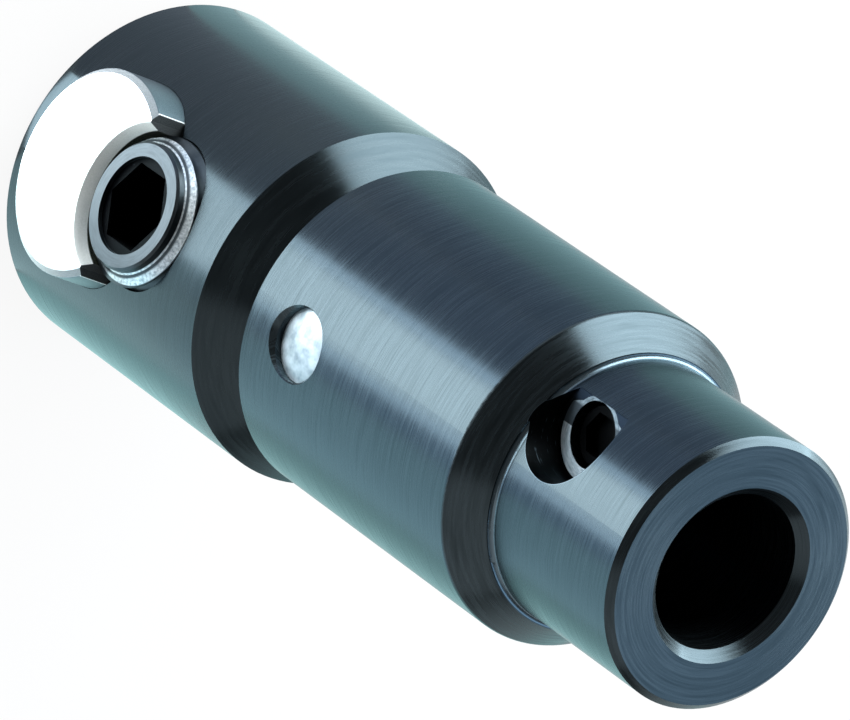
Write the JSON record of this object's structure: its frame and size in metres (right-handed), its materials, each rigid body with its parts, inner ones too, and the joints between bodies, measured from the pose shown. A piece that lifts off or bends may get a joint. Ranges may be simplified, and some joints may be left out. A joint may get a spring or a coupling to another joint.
{
  "type": "tapping chuck",
  "caption": "Two-jaw tapping chuck with a screw-operated clamp and a sprung drive sleeve that floats lengthwise, for a plain shank.",
  "frame": {"origin": "centre of the tap-end face, on the chuck's axis", "axes": "+Z along the chuck's axis towards the machine end, X along the travel of the two jaws"},
  "size_m": [0.0414, 0.038, 0.103],
  "materials": {
    "black_oxide_head": "turned steel, blackened, oiled",
    "black_oxide_sleeve": "turned steel, blued black, satin",
    "hardened_plunger": "hardened and ground, dark",
    "ground_steel": "ground, bright",
    "nitrile_rubber": "matt",
    "plain_steel": "machined, bright",
    "spring_steel": "oil tempered",
    "polished_jaw": "ground and polished",
    "spindle_steel": "cut thread, grey",
    "black_bolt_steel": "blackened"
  },
  "bodies": {
    "head": {"chuck_head": "black_oxide_head", "float_plunger": "hardened_plunger", "plunger_lock_pin": "ground_steel", "plunger_o_ring": "nitrile_rubber", "spindle_locator": "plain_steel", "locator_wave_washer": "spring_steel", "push_spring": "spring_steel", "pull_spring": "spring_steel"},
    "right_jaw": {"jaw_right": "polished_jaw"},
    "left_jaw": {"jaw_left": "polished_jaw"},
    "spindle": {"clamping_spindle": "spindle_steel"},
    "sleeve": {"drive_sleeve": "black_oxide_sleeve", "drive_pin_front": "ground_steel", "drive_pin_rear": "ground_steel", "tie_bolt": "black_bolt_steel", "bolt_spring_cup": "plain_steel", "push_spring_cup": "plain_steel", "lock_washer": "plain_steel", "lock_nut": "black_bolt_steel"},
    "clamp_screw": {"shank_clamp_screw": "black_bolt_steel"}
  },
  "joints": [
    {"name": "spindle_turn", "type": "hinge", "parent": "head", "child": "spindle", "pos_m": [0, 0, 0.02345], "axis": [1, 0, 0], "range_deg": [0, 1080]},
    {"name": "jaw_right_slide", "type": "slide", "parent": "head", "child": "right_jaw", "axis": [-1, 0, 0], "range_m": [0, 0.006]},
    {"name": "jaw_left_slide", "type": "slide", "parent": "head", "child": "left_jaw", "axis": [1, 0, 0], "range_m": [0, 0.006]},
    {"name": "sleeve_float", "type": "slide", "parent": "head", "child": "sleeve", "axis": [0, 0, 1], "range_m": [-0.0035, 0.006], "stiffness_N_per_m": 12000, "deforming": ["push_spring", "pull_spring"]},
    {"name": "clamp_screw_feed", "type": "slide", "parent": "sleeve", "child": "clamp_screw", "axis": [-0.989, -0.1478, 0], "range_m": [-0.002, 0.002]}
  ],
  "couplings": [
    {"joint": "jaw_right_slide", "follows": "spindle_turn", "m_per_rad": 0.0003183},
    {"joint": "jaw_left_slide", "follows": "spindle_turn", "m_per_rad": 0.0003183}
  ]
}
